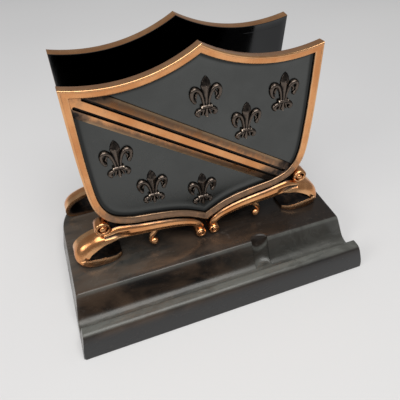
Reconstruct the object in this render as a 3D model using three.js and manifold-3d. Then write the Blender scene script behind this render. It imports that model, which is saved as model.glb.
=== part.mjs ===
// Desk letter holder with a pen groove: a moulded base carries two identical
// cast shields on scroll feet, back to back, with a slot for letters between.
// Millimetres, +Z up, origin on the table under the centre of the base.
import * as THREE from "three";
import * as BufferGeometryUtils from "three/addons/utils/BufferGeometryUtils.js";
import Module from "manifold-3d";

const wasm = await Module();
wasm.setup();

// ---- Driving dimensions ----
const GAP = 0.3;

const BASE_WIDTH = 165;
const BASE_DEPTH = 107;
const BASE_BOTTOM_Z = 0.4;
const DECK_Z = 18.5;
const END_DRAFT = 0.2;
const REAR_CORNER_RADIUS = 28;
const REAR_CORNER_SEGMENTS = 9;
const FRONT_CORNER_RADIUS = 1.2;
const FRONT_Y = -BASE_DEPTH / 2;
const BASE_EDGE_STEPS = [
  { z: BASE_BOTTOM_Z, inset: 0 },
  { z: 17.3, inset: 0 },
  { z: 18.2, inset: 0.4 },
  { z: DECK_Z, inset: 1.3 },
];

const LIP_Z = 14.9;
const LIP_REAR_Y = FRONT_Y + 9.8;
const GROOVE_CENTRE_Y = FRONT_Y + 16.54;
const GROOVE_CENTRE_Z = 10.15;
const GROOVE_RADIUS = 5.8;
const GROOVE_SEGMENTS = 12;
const GROOVE_FRONT_TILT = THREE.MathUtils.degToRad(10);
const GROOVE_WALL_TILT = THREE.MathUtils.degToRad(25);
const GROOVE_REAR_TOP_Y = FRONT_Y + 26.4;
const GROOVE_EDGE_DROP = 1;

// A round flute that runs down the groove's rear wall.
const NOTCH_X = 26.3;
const NOTCH_RADIUS = 5.6;
const NOTCH_BITE = 3.2;
const NOTCH_LENGTH = 24;
const NOTCH_END_Z = 6.3;

const FELT_INSET = 5;
const FELT_THICKNESS = 1.4;
const RECESS_TOP_Z = FELT_THICKNESS + GAP;
const FELT_SCREW_HOLE_RADIUS = 6.5;

const SCREW_X = 60;
const SCREW_OFFSET_Y = 18.6;
const SCREW_HEAD_RADIUS = 4;
const SCREW_HEAD_HEIGHT = 2.4;
const SCREW_HEAD_SEAT_Z = 6;
const SCREW_SHANK_RADIUS = 1.5;
const SCREW_TIP_Z = DECK_Z + 2.2;
const SCREW_SLOT_WIDTH = 1.1;
const SCREW_SLOT_DEPTH = 1;
const SCREW_SEGMENTS = 14;
const COUNTERBORE_RADIUS = SCREW_HEAD_RADIUS + 0.6;

// Castings: one design, placed twice, turned half a turn about CASTING_AXIS_Y.
const CASTING_AXIS_Y = 16;
const SHIELD_FRONT_Y = -26.4;
const SHIELD_PIVOT_Z = 33;
const SHIELD_LEAN = Math.atan(0.0692);

const SHIELD_PEAK_Z = 129.4;
const SHIELD_TIP_X = 61.1;
const TOP_ARC_CENTRE = new THREE.Vector2(41.2, 198.5);
const TOP_ARC_RADIUS = 80.5;
const TOP_ARC_SEGMENTS = 9;
const SIDE_SEGMENTS = 18;
const SIDE_POINTS = [
  [61.1, 120.6], [61.2, 98], [60.9, 78], [59.8, 61], [56.8, 51.5], [51.2, 45.4],
  [42, 41.7], [30, 39.9], [20, 38.2], [12, 35.9], [6, 33], [0, 29.6],
];
const RIM_WIDTH = 3.9;
const RIM_RIDGE_INSET = 0.6;
const RIM_RIDGE_DROP = 0.5;
const RIM_BEVEL_DEPTH = 0.8;
const SHIELD_THICKNESS = 5;
const FIELD_DEPTH = 3.2;

const BEND_SLOPE = -0.65;
const BEND_CENTRE_Z = 77.7;
const BEND_HALF_WIDTH = 7.5;
const BEND_CROWN_HALF = 3.2;
const BEND_TOP_DEPTH = 1.1;
const BEND_EDGE_DEPTH = 2.3;
const BEND_GROOVE_OFFSET = 2.5;
const BEND_GROOVE_HALF = 0.6;
const BEND_GROOVE_DEPTH = 1.3;
const BEND_HALF_LENGTH = 90;
const BEND_GROOVE_ENDS = [[-63.5, 55.5], [-65.3, 53.0]];

const FLEUR_PLACES = [
  [2.5, 103.8], [23.6, 86.4], [43.4, 98],
  [-42.9, 81.5], [-27.8, 60.4], [-1, 50.6],
];
const FLEUR_TOP_DEPTH = 1.2;
const FLEUR_SHOULDER_DEPTH = 1.7;
const FLEUR_BEVEL = 0.35;
const FLEUR_HALF = [
  [0, 10.4], [1.6, 8.2], [2.6, 5.6], [2.3, 2.4], [2.1, -0.2], [3, 3], [4.4, 5.4],
  [6.2, 5.8], [7.4, 4.2], [7.5, 1.4], [6.9, -1.6], [5.6, -2], [5.6, 0.9], [4.8, 1.8],
  [3.6, -1.2], [3, -3.6], [3, -5.8], [5.4, -6.7], [5.9, -8.4], [4.4, -9.6],
  [2.5, -8.4], [1.2, -10.1], [0, -10.4],
];

// Scroll foot, given for the +X side and mirrored to the other.
const MOULDING_PATH = [
  [56.6, 37.1], [53.5, 37.2], [50, 37.3], [44, 36.3], [37, 35.3], [30, 34.6], [20, 33.2],
  [13, 31.5], [8, 29.5], [4.8, 26.8], [3.6, 23.8],
];
const MOULDING_HALF_HEIGHTS = [2.2, 3.2, 4.5, 4.4, 3.9, 3.6, 3.2, 2.8, 2.5, 2.3, 2.1];
const MOULDING_FRONT_Y = -27.6;
const MOULDING_SHOULDER_Y = -25.9;
const MOULDING_BACK_Y = -16.5;
const MOULDING_STATIONS = 20;
const CURL_CENTRE = [4.1, 21.8];
const CURL_RADIUS = 3;
const CURL_FRONT_Y = -29.2;

const FOOT_PATH = [
  [54.2, 34.2], [58, 34.4], [62, 33.9], [66.5, 32.4], [70.8, 30.2], [74, 26.8],
  [75.2, 23.2], [73.9, 20.2], [70.6, 18.9], [66, 18.8], [58, 18.8], [53.5, 18.8], [50, 18.8],
];
const FOOT_LIP_DROPS = [3.4, 4.2, 5, 5.7, 6.3, 6.5, 6.4, 6, 5.5, 4.9, 3.7, 2.8, 2];
const FOOT_THICKNESSES = [2.2, 2.3, 2.4, 2.4, 2.4, 2.4, 2.4, 2.4, 2.4, 2.4, 2.3, 2, 1.5];
const FOOT_FRONT_Y = [
  -25.2, -25.4, -25.6, -25.9, -26.3, -26.9, -27.6, -28.2, -28.5, -28.7, -28.6, -27.7, -25,
];
const FOOT_FLAT_FROM = 0.45;
const FOOT_FLAT_TO = 0.8;
const FOOT_BACK_Y = -14.4;
const FOOT_STATIONS = 20;

const VOLUTE_CENTRE = [57.4, 44.3];
const VOLUTE_RADIUS = 4.1;
const VOLUTE_FRONT_Y = -27.7;
const VOLUTE_BACK_Y = -21;
const VOLUTE_DISH_RADIUS = 3.1;
const VOLUTE_DISH_DEPTH = 1;
const VOLUTE_BALL_RADIUS = 1.9;

const BERRY_X = 31;
const BERRY_Y = -25.4;
const BERRY_Z = 23.7;
const BERRY_RADIUS = 2.7;
const BERRY_STEM_RADIUS = 1.1;
const BERRY_STEM_TOP_Z = 31;

const COPPER = { color: 0xb5713d, roughness: 0.32, metalness: 0.9 };
const DARK_FIELD = { color: 0x3b3c3d, roughness: 0.42, metalness: 0.6 };
const DARK_BRONZE = { color: 0x5a4a40, roughness: 0.35, metalness: 0.85 };
const BAKELITE = { color: 0x2a2220, roughness: 0.35, metalness: 0 };
const FELT = { color: 0x24402c, roughness: 0.95, metalness: 0 };
const STEEL = { color: 0x8d8f92, roughness: 0.4, metalness: 0.9 };

// ---- Geometry helpers ----
function namedMesh(name, geometry, finish) {
  const mesh = new THREE.Mesh(geometry, new THREE.MeshStandardMaterial(finish));
  mesh.name = name;
  return mesh;
}

function toSolid(geometry) {
  const bare = geometry.clone();
  bare.deleteAttribute("normal");
  bare.deleteAttribute("uv");
  const merged = BufferGeometryUtils.mergeVertices(bare, 1e-5);
  const vertProperties = new Float32Array(merged.attributes.position.array);
  const triVerts = new Uint32Array(merged.index.array);
  return new wasm.Manifold(new wasm.Mesh({ numProp: 3, vertProperties, triVerts }));
}

function fromSolid(solid) {
  const mesh = solid.getMesh();
  const geometry = new THREE.BufferGeometry();
  geometry.setAttribute("position", new THREE.BufferAttribute(mesh.vertProperties, 3));
  geometry.setIndex(new THREE.BufferAttribute(mesh.triVerts, 1));
  geometry.computeVertexNormals();
  return geometry;
}

function signedVolume(points, faces) {
  let total = 0;
  for (const [a, b, c] of faces) {
    const cross = new THREE.Vector3().crossVectors(points[b], points[c]);
    total += points[a].dot(cross);
  }
  return total;
}

function geometryFrom(points, faces) {
  const outward = signedVolume(points, faces) > 0;
  const index = faces.flatMap(([a, b, c]) => (outward ? [a, b, c] : [a, c, b]));
  const geometry = new THREE.BufferGeometry().setFromPoints(points);
  geometry.setIndex(index);
  geometry.computeVertexNormals();
  return geometry;
}

// Joins rings of equal point count; capFaces closes the two end rings,
// and without it the last ring is joined back to the first.
function loft(rings, capFaces = null) {
  const count = rings[0].length;
  const spans = capFaces ? rings.length - 1 : rings.length;
  const faces = [];
  for (let i = 0; i < spans; i += 1) {
    const from = i * count;
    const to = ((i + 1) % rings.length) * count;
    for (let k = 0; k < count; k += 1) {
      const next = (k + 1) % count;
      faces.push([from + k, from + next, to + next]);
      faces.push([from + k, to + next, to + k]);
    }
  }
  if (capFaces) {
    const last = (rings.length - 1) * count;
    for (const [a, b, c] of capFaces) {
      faces.push([a, c, b]);
      faces.push([last + a, last + b, last + c]);
    }
  }
  return geometryFrom(rings.flat(), faces);
}

function capOf(outline) {
  const forward = !THREE.ShapeUtils.isClockWise(outline);
  const faces = THREE.ShapeUtils.triangulateShape(outline, []);
  return forward ? faces : faces.map(([a, b, c]) => [a, c, b]);
}

// Moves a counter-clockwise outline inwards by a distance, with mitred corners.
function insetOutline(outline, distance) {
  return outline.map((point, i) => {
    const before = outline[(i + outline.length - 1) % outline.length];
    const after = outline[(i + 1) % outline.length];
    const inward = [point.clone().sub(before), after.clone().sub(point)].map((edge) => {
      edge.normalize();
      return new THREE.Vector2(-edge.y, edge.x);
    });
    const middle = inward[0].clone().add(inward[1]).normalize();
    return point.clone().addScaledVector(middle, distance / middle.dot(inward[0]));
  });
}

function mirroredOutline(rightHalf) {
  const left = rightHalf.slice(1, -1).map((point) => new THREE.Vector2(-point.x, point.y));
  const clockwise = [...rightHalf, ...left.reverse()];
  return clockwise.reverse();
}

function atDepth(outline, depth) {
  return outline.map((point) => new THREE.Vector3(point.x, depth, point.y));
}

function atHeight(outline, z) {
  return outline.map((point) => new THREE.Vector3(point.x, point.y, z));
}

function rollAlongY(radius, fromY, toY, [x, z], segments) {
  const geometry = new THREE.CylinderGeometry(radius, radius, toY - fromY, segments);
  geometry.translate(x, (fromY + toY) / 2, z);
  return geometry;
}

function uprightCylinder(radius, fromZ, toZ, x, y, segments) {
  const geometry = new THREE.CylinderGeometry(radius, radius, toZ - fromZ, segments);
  geometry.rotateX(Math.PI / 2);
  geometry.translate(x, y, (fromZ + toZ) / 2);
  return geometry;
}

// Sweeps sections given as (inward offset, y) along a path in the XZ plane.
function sweepInXZ(path, sectionAt, stations) {
  const curve = new THREE.SplineCurve(path.map(([x, z]) => new THREE.Vector2(x, z)));
  const rings = [];
  for (let i = 0; i < stations; i += 1) {
    const t = i / (stations - 1);
    const centre = curve.getPoint(t);
    const along = curve.getTangent(t);
    const ring = sectionAt(t).map(
      ([offset, y]) => new THREE.Vector3(centre.x + offset * along.y, y, centre.y - offset * along.x),
    );
    rings.push(ring);
  }
  const flat = sectionAt(0).map(([offset, y]) => new THREE.Vector2(offset, y));
  return loft(rings, capOf(flat));
}

function sampled(values, t) {
  const place = t * (values.length - 1);
  const low = Math.min(Math.floor(place), values.length - 2);
  return THREE.MathUtils.lerp(values[low], values[low + 1], place - low);
}

// ---- Base ----
// The plan at height z, drawn in by inset at the ends and rear and by
// frontInset at the front; the corner arcs run counter-clockwise.
function basePlan(inset, z, frontInset = 0) {
  const half = BASE_WIDTH / 2 - END_DRAFT * z - inset;
  const rear = BASE_DEPTH / 2 - END_DRAFT * z - inset;
  const front = FRONT_Y + frontInset;
  const corners = [
    { x: half, y: front, radius: FRONT_CORNER_RADIUS, start: -Math.PI / 2, steps: 2 },
    { x: half, y: rear, radius: REAR_CORNER_RADIUS, start: 0, steps: REAR_CORNER_SEGMENTS },
    { x: -half, y: rear, radius: REAR_CORNER_RADIUS, start: Math.PI / 2, steps: REAR_CORNER_SEGMENTS },
    { x: -half, y: front, radius: FRONT_CORNER_RADIUS, start: Math.PI, steps: 2 },
  ];
  return corners.flatMap(({ x, y, radius, start, steps }) => {
    const centreX = x - Math.sign(x) * radius;
    const centreY = y - Math.sign(y) * radius;
    return Array.from({ length: steps + 1 }, (_, i) => {
      const angle = start + (i / steps) * (Math.PI / 2);
      return new THREE.Vector2(centreX + radius * Math.cos(angle), centreY + radius * Math.sin(angle));
    });
  });
}

function baseBlank() {
  const rings = BASE_EDGE_STEPS.map(({ z, inset }) => atHeight(basePlan(inset, z), z));
  return toSolid(loft(rings, capOf(basePlan(0, BASE_BOTTOM_Z))));
}

// Front face, lip, cove groove and the deck's front edge, as the part cut away.
function grooveCutter() {
  const beyond = 10;
  const reach = BASE_WIDTH / 2 + beyond;
  const shape = new THREE.Shape();
  shape.moveTo(FRONT_Y - beyond, BASE_BOTTOM_Z - beyond);
  shape.lineTo(FRONT_Y - 2, BASE_BOTTOM_Z - beyond);
  shape.lineTo(FRONT_Y + 0.2, BASE_BOTTOM_Z);
  shape.quadraticCurveTo(FRONT_Y + 2.4, 9, FRONT_Y + 3.4, 12.2);
  shape.quadraticCurveTo(FRONT_Y + 4.4, LIP_Z, FRONT_Y + 6.2, LIP_Z);
  shape.lineTo(LIP_REAR_Y - 0.3, LIP_Z);
  shape.lineTo(LIP_REAR_Y, LIP_Z - 0.3);
  const sweep = Math.PI - GROOVE_FRONT_TILT - GROOVE_WALL_TILT;
  for (let i = 0; i <= GROOVE_SEGMENTS; i += 1) {
    const angle = Math.PI + GROOVE_FRONT_TILT + (i / GROOVE_SEGMENTS) * sweep;
    shape.lineTo(
      GROOVE_CENTRE_Y + GROOVE_RADIUS * Math.cos(angle),
      GROOVE_CENTRE_Z + GROOVE_RADIUS * Math.sin(angle),
    );
  }
  shape.lineTo(GROOVE_REAR_TOP_Y, DECK_Z - GROOVE_EDGE_DROP);
  shape.lineTo(GROOVE_REAR_TOP_Y + 0.3, DECK_Z);
  shape.lineTo(GROOVE_REAR_TOP_Y + 0.3, DECK_Z + beyond);
  shape.lineTo(FRONT_Y - beyond, DECK_Z + beyond);
  const cutter = new THREE.ExtrudeGeometry(shape, { depth: 2 * reach, bevelEnabled: false, curveSegments: 4 });
  cutter.applyMatrix4(new THREE.Matrix4().makeBasis(
    new THREE.Vector3(0, 1, 0), new THREE.Vector3(0, 0, 1), new THREE.Vector3(1, 0, 0),
  ));
  cutter.translate(-reach, 0, 0);
  return toSolid(cutter);
}

// The flute's axis lies parallel to the rear wall, just in front of it.
function notchCutter() {
  const wallTop = new THREE.Vector3(NOTCH_X, GROOVE_REAR_TOP_Y, DECK_Z - GROOVE_EDGE_DROP);
  const upWall = new THREE.Vector3(0, Math.sin(GROOVE_WALL_TILT), Math.cos(GROOVE_WALL_TILT));
  const offWall = new THREE.Vector3(0, -Math.cos(GROOVE_WALL_TILT), Math.sin(GROOVE_WALL_TILT));
  const axisTop = wallTop.addScaledVector(offWall, NOTCH_RADIUS - NOTCH_BITE);
  const toEnd = (axisTop.z - NOTCH_END_Z) / upWall.z;
  const middle = axisTop.addScaledVector(upWall, NOTCH_LENGTH / 2 - toEnd);
  const flute = uprightCylinder(NOTCH_RADIUS, -NOTCH_LENGTH / 2, NOTCH_LENGTH / 2, 0, 0, 20);
  flute.rotateX(-GROOVE_WALL_TILT);
  flute.translate(middle.x, middle.y, middle.z);
  return toSolid(flute);
}

function feltOutline(inset) {
  return basePlan(inset, BASE_BOTTOM_Z, inset);
}

function recessCutter() {
  const outline = feltOutline(FELT_INSET - GAP - 0.1);
  const rings = [atHeight(outline, BASE_BOTTOM_Z - 5), atHeight(outline, RECESS_TOP_Z)];
  return toSolid(loft(rings, capOf(outline)));
}

function screwPlaces() {
  const places = [];
  for (const side of [-1, 1]) {
    for (const face of [-1, 1]) {
      places.push({ x: side * SCREW_X, y: CASTING_AXIS_Y + face * SCREW_OFFSET_Y, side, face });
    }
  }
  return places;
}

function baseGeometry() {
  let base = baseBlank().subtract(grooveCutter()).subtract(notchCutter()).subtract(recessCutter());
  for (const { x, y } of screwPlaces()) {
    const bore = uprightCylinder(COUNTERBORE_RADIUS, 0, SCREW_HEAD_SEAT_Z, x, y, SCREW_SEGMENTS);
    const hole = uprightCylinder(SCREW_SHANK_RADIUS + GAP, 0, DECK_Z + 1, x, y, SCREW_SEGMENTS);
    base = base.subtract(toSolid(bore)).subtract(toSolid(hole));
  }
  return fromSolid(base);
}

function feltGeometry() {
  const outline = feltOutline(FELT_INSET);
  let felt = toSolid(loft([atHeight(outline, 0), atHeight(outline, FELT_THICKNESS)], capOf(outline)));
  for (const { x, y } of screwPlaces()) {
    const hole = uprightCylinder(FELT_SCREW_HOLE_RADIUS, -1, FELT_THICKNESS + 1, x, y, SCREW_SEGMENTS);
    felt = felt.subtract(toSolid(hole));
  }
  return fromSolid(felt);
}

function screwGeometry() {
  const headTop = SCREW_HEAD_SEAT_Z - GAP;
  const headBottom = headTop - SCREW_HEAD_HEIGHT;
  const profile = [
    [0, headBottom], [SCREW_HEAD_RADIUS - 0.6, headBottom], [SCREW_HEAD_RADIUS, headBottom + 0.8],
    [SCREW_HEAD_RADIUS, headTop], [SCREW_SHANK_RADIUS, headTop],
    [SCREW_SHANK_RADIUS, SCREW_TIP_Z - 0.4], [SCREW_SHANK_RADIUS - 0.4, SCREW_TIP_Z], [0, SCREW_TIP_Z],
  ];
  const screw = new THREE.LatheGeometry(
    profile.map(([radius, z]) => new THREE.Vector2(radius, z)), SCREW_SEGMENTS,
  );
  screw.rotateX(Math.PI / 2);
  const slotLength = 4 * SCREW_HEAD_RADIUS;
  const slot = new THREE.BoxGeometry(slotLength, SCREW_SLOT_WIDTH, 2 * SCREW_SLOT_DEPTH);
  slot.translate(0, 0, headBottom);
  return fromSolid(toSolid(screw).subtract(toSolid(slot)));
}

// ---- Shield: outlines lie in the plane that leans with it, depth is +Y ----
function onLeaningPlane([x, z]) {
  return new THREE.Vector2(x, (z - SHIELD_PIVOT_Z) / Math.cos(SHIELD_LEAN));
}

function shieldOutline() {
  const right = [];
  for (let i = 0; i < TOP_ARC_SEGMENTS; i += 1) {
    const x = (i / TOP_ARC_SEGMENTS) * SHIELD_TIP_X;
    const drop = Math.sqrt(TOP_ARC_RADIUS ** 2 - (x - TOP_ARC_CENTRE.x) ** 2);
    right.push(onLeaningPlane([x, TOP_ARC_CENTRE.y - drop]));
  }
  right[0].y = onLeaningPlane([0, SHIELD_PEAK_Z]).y;
  const side = new THREE.SplineCurve(SIDE_POINTS.map(onLeaningPlane));
  right.push(...side.getPoints(SIDE_SEGMENTS));
  right[right.length - 1].x = 0;
  return mirroredOutline(right);
}

function rimGeometry() {
  const outer = shieldOutline();
  const ridge = insetOutline(outer, RIM_RIDGE_INSET);
  const inner = insetOutline(outer, RIM_WIDTH);
  return loft([
    atDepth(outer, SHIELD_THICKNESS), atDepth(outer, RIM_RIDGE_DROP), atDepth(ridge, 0),
    atDepth(inner, RIM_BEVEL_DEPTH), atDepth(inner, SHIELD_THICKNESS),
  ]);
}

function plateGeometry() {
  const outline = insetOutline(shieldOutline(), RIM_WIDTH + GAP);
  return loft([atDepth(outline, FIELD_DEPTH), atDepth(outline, SHIELD_THICKNESS)], capOf(outline));
}

// The band is built level about its own centre, then turned to its slope.
function placedOnBend(geometry) {
  geometry.rotateY(-Math.atan(BEND_SLOPE));
  const centre = onLeaningPlane([0, BEND_CENTRE_Z]);
  geometry.translate(0, 0, centre.y);
  return toSolid(geometry);
}

function extrudeAlongX(section, fromX, toX) {
  const shape = new THREE.Shape(section.map(([depth, z]) => new THREE.Vector2(depth, z)));
  const bar = new THREE.ExtrudeGeometry(shape, { depth: toX - fromX, bevelEnabled: false });
  bar.applyMatrix4(new THREE.Matrix4().makeBasis(
    new THREE.Vector3(0, 1, 0), new THREE.Vector3(0, 0, 1), new THREE.Vector3(1, 0, 0),
  ));
  bar.translate(fromX, 0, 0);
  return bar;
}

function bendGrooveCutter(side) {
  const [fromX, toX] = BEND_GROOVE_ENDS[side > 0 ? 0 : 1];
  const z = side * BEND_GROOVE_OFFSET;
  const floor = BEND_TOP_DEPTH + BEND_GROOVE_DEPTH;
  const slot = new THREE.BoxGeometry(toX - fromX, floor, 2 * BEND_GROOVE_HALF);
  slot.translate((fromX + toX) / 2, floor / 2, z);
  let cutter = placedOnBend(slot);
  for (const x of [fromX, toX]) {
    cutter = cutter.add(placedOnBend(rollAlongY(BEND_GROOVE_HALF, 0, floor, [x, z], 12)));
  }
  return cutter;
}

function bendGeometry() {
  const back = FIELD_DEPTH - GAP;
  const section = [
    [back, -BEND_HALF_WIDTH], [back, BEND_HALF_WIDTH], [BEND_EDGE_DEPTH, BEND_HALF_WIDTH],
    [BEND_TOP_DEPTH, BEND_CROWN_HALF], [BEND_TOP_DEPTH, -BEND_CROWN_HALF],
    [BEND_EDGE_DEPTH, -BEND_HALF_WIDTH],
  ];
  const band = placedOnBend(extrudeAlongX(section, -BEND_HALF_LENGTH, BEND_HALF_LENGTH));
  const outline = insetOutline(shieldOutline(), RIM_WIDTH + GAP);
  const window = toSolid(loft([atDepth(outline, 0), atDepth(outline, SHIELD_THICKNESS)], capOf(outline)));
  const trimmed = band.intersect(window);
  return fromSolid(trimmed.subtract(bendGrooveCutter(1)).subtract(bendGrooveCutter(-1)));
}

function fleurGeometry() {
  const outline = mirroredOutline(FLEUR_HALF.map(([x, z]) => new THREE.Vector2(x, z)));
  const crown = insetOutline(outline, FLEUR_BEVEL);
  const rings = [
    atDepth(outline, FIELD_DEPTH - GAP), atDepth(outline, FLEUR_SHOULDER_DEPTH), atDepth(crown, FLEUR_TOP_DEPTH),
  ];
  return loft(rings, capOf(outline));
}

function shieldGroup(face) {
  const group = new THREE.Group();
  group.position.set(0, SHIELD_FRONT_Y, SHIELD_PIVOT_Z);
  group.rotation.x = -SHIELD_LEAN;
  group.add(namedMesh(`${face}_shield_plate`, plateGeometry(), DARK_FIELD));
  group.add(namedMesh(`${face}_shield_rim`, rimGeometry(), COPPER));
  group.add(namedMesh(`${face}_bend_band`, bendGeometry(), COPPER));
  FLEUR_PLACES.forEach((place, i) => {
    const fleur = namedMesh(`${face}_fleur_${i + 1}`, fleurGeometry(), DARK_BRONZE);
    const { x, y } = onLeaningPlane(place);
    fleur.position.set(x, 0, y);
    group.add(fleur);
  });
  return group;
}

// ---- Scroll foot ----
function mouldingSection(t) {
  const half = sampled(MOULDING_HALF_HEIGHTS, t);
  const crest = MOULDING_FRONT_Y;
  return [
    [-half, MOULDING_BACK_Y], [-half, MOULDING_SHOULDER_Y], [-0.75 * half, crest + 0.9], [-0.3 * half, crest],
    [0.3 * half, crest], [0.75 * half, crest + 0.9], [half, MOULDING_SHOULDER_Y], [half, MOULDING_BACK_Y],
  ];
}

function mouldingGeometry() {
  const strand = toSolid(sweepInXZ(MOULDING_PATH, mouldingSection, MOULDING_STATIONS));
  const curl = toSolid(rollAlongY(CURL_RADIUS, CURL_FRONT_Y, MOULDING_BACK_Y, CURL_CENTRE, 16));
  return fromSolid(strand.add(curl));
}

// The ribbon's edge rolls over towards the viewer above the bend and stands
// upright from the deck below it.
function footSection(t) {
  const drop = sampled(FOOT_LIP_DROPS, t);
  const thick = sampled(FOOT_THICKNESSES, t);
  const front = sampled(FOOT_FRONT_Y, t);
  const depth = FOOT_BACK_Y - front;
  const flat = THREE.MathUtils.smoothstep(t, FOOT_FLAT_FROM, FOOT_FLAT_TO);
  const back = (rolled, upright) => front + THREE.MathUtils.lerp(rolled, upright, flat) * depth;
  const inner = THREE.MathUtils.lerp(0.3 * drop + 0.75 * thick, 0.85 * drop, flat);
  return [
    [drop, back(0, 0.03)], [0.45 * drop, back(0.12, 0)], [0.12 * drop, back(0.3, 0.02)],
    [0, back(0.5, 0.08)], [0, FOOT_BACK_Y], [thick, FOOT_BACK_Y],
    [thick, back(0.55, 0.4)], [inner, back(0.3, 0.11)],
  ];
}

function footGeometry() {
  let foot = toSolid(sweepInXZ(FOOT_PATH, footSection, FOOT_STATIONS));
  const hole = uprightCylinder(
    SCREW_SHANK_RADIUS + GAP, DECK_Z - 1, DECK_Z + 3, SCREW_X, -SCREW_OFFSET_Y, SCREW_SEGMENTS,
  );
  foot = foot.subtract(toSolid(hole));
  return fromSolid(foot);
}

function voluteGeometry() {
  let volute = toSolid(rollAlongY(VOLUTE_RADIUS, VOLUTE_FRONT_Y, VOLUTE_BACK_Y, VOLUTE_CENTRE, 18));
  const dishBottom = VOLUTE_FRONT_Y + VOLUTE_DISH_DEPTH;
  const dish = rollAlongY(VOLUTE_DISH_RADIUS, VOLUTE_FRONT_Y - 1, dishBottom, VOLUTE_CENTRE, 18);
  const ball = new THREE.SphereGeometry(VOLUTE_BALL_RADIUS, 12, 8);
  ball.translate(VOLUTE_CENTRE[0], dishBottom, VOLUTE_CENTRE[1]);
  volute = volute.subtract(toSolid(dish)).add(toSolid(ball));
  return fromSolid(volute);
}

function berryGeometry() {
  const ball = new THREE.SphereGeometry(BERRY_RADIUS, 12, 8);
  ball.translate(BERRY_X, BERRY_Y, BERRY_Z);
  const stem = uprightCylinder(BERRY_STEM_RADIUS, BERRY_Z, BERRY_STEM_TOP_Z, BERRY_X, BERRY_Y, 8);
  return fromSolid(toSolid(ball).add(toSolid(stem)));
}

function mirroredInX(geometry) {
  const copy = geometry.clone();
  copy.scale(-1, 1, 1);
  const index = copy.index.array;
  for (let i = 0; i < index.length; i += 3) {
    [index[i + 1], index[i + 2]] = [index[i + 2], index[i + 1]];
  }
  copy.computeVertexNormals();
  return copy;
}

function addPair(group, face, name, geometry, finish) {
  group.add(namedMesh(`${face}_${name}_right`, geometry, finish));
  group.add(namedMesh(`${face}_${name}_left`, mirroredInX(geometry), finish));
}

function castingGroup(face) {
  const group = new THREE.Group();
  group.add(shieldGroup(face));
  addPair(group, face, "scroll_moulding", mouldingGeometry(), COPPER);
  addPair(group, face, "scroll_foot", footGeometry(), COPPER);
  addPair(group, face, "corner_volute", voluteGeometry(), COPPER);
  addPair(group, face, "berry", berryGeometry(), COPPER);
  group.position.y = CASTING_AXIS_Y;
  return group;
}

// ---- Assembly ----
const holder = new THREE.Group();
holder.add(namedMesh("base_block", baseGeometry(), BAKELITE));
holder.add(namedMesh("base_felt", feltGeometry(), FELT));
for (const { x, y, side, face } of screwPlaces()) {
  const screw = namedMesh(
    `screw_${face < 0 ? "front" : "rear"}_${side < 0 ? "left" : "right"}`, screwGeometry(), STEEL,
  );
  screw.position.set(x, y, 0);
  holder.add(screw);
}
holder.add(castingGroup("front"));
const rearCasting = castingGroup("rear");
rearCasting.rotation.z = Math.PI;
holder.add(rearCasting);

export default holder;
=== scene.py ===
"""Looks for a desk letter holder: two copper-plated shields on a moulded base.

Every length below is in millimetres unless its name ends in _M; meshes are
built in millimetres and scaled to metres once, in mesh_from().
"""
import math

import bmesh
import bpy
import numpy as np
from mathutils import Matrix, Vector


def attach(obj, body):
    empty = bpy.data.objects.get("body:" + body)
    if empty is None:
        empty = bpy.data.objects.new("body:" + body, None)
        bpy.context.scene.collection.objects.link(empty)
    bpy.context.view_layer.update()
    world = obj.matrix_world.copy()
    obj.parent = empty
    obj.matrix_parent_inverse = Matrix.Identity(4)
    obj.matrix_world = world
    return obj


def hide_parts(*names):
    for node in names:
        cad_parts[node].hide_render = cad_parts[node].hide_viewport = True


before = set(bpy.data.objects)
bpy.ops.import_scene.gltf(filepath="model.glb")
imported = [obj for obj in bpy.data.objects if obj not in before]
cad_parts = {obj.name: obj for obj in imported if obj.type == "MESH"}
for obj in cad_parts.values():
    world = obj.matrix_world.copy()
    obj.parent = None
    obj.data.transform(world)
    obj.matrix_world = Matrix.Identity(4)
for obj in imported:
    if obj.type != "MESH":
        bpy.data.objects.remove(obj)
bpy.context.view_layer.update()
MM = 0.001
WELD = 0.004

# ---- How finely the outline of a shield is sampled ----
TOP_COUNT = 40
SIDE_COUNT = 110

# ---- Dimensions shared with the CAD model ----
CASTING_AXIS_Y = 16.0
SHIELD_FRONT_Y = -26.4
SHIELD_PIVOT_Z = 33.0
SHIELD_LEAN = math.atan(0.0692)
SHIELD_PEAK_Z = 129.4
SHIELD_TIP_X = 61.1
TOP_ARC_CENTRE = (41.2, 198.5)
TOP_ARC_RADIUS = 80.5
SIDE_POINTS = [
    (61.1, 120.6), (61.2, 98), (60.9, 78), (59.8, 61), (56.8, 51.5), (51.2, 45.4),
    (42, 41.7), (30, 39.9), (20, 38.2), (12, 35.9), (6, 33), (0, 29.6),
]
SHIELD_THICKNESS = 5.0
BACK_FACE_DEPTH = 4.6
FIELD_DEPTH = 3.2
FIELD_INSET = 3.9

BEND_SLOPE = -0.65
BEND_CENTRE_Z = 77.7
BEND_HALF_WIDTH = 7.6
BEND_GROOVE_OFFSET = 2.5
BEND_GROOVE_HALF = 0.62
BEND_GROOVE_SINK = 1.45
BEND_GROOVE_ENDS = {1: (-63.5, 55.5), -1: (-65.3, 53.0)}
BEND_CROWN_HALF = 3.3
BEND_CROWN_DEPTH = 1.15
BEND_SKIRT_DEPTH = 1.3
BEND_SKIRT_DROP = 1.35
BEND_EDGE_DEPTH = 3.35
BEND_BACK_DEPTH = 3.4

FLEUR_PLACES = [
    (2.5, 103.8), (23.6, 86.4), (43.4, 98.0),
    (-42.9, 81.5), (-27.8, 60.4), (-1.0, 50.6),
]
FLEUR_STEP = 0.17
FLEUR_HALF_WIDTH = 8.3
FLEUR_HALF_HEIGHT = 10.9
FLEUR_BACK = 0.7
PETAL_TIP_Z = 10.3
BAND_Z = -4.75
BAND_HALF_HEIGHT = 0.95
BAND_HALF_WIDTH = 2.9

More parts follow.
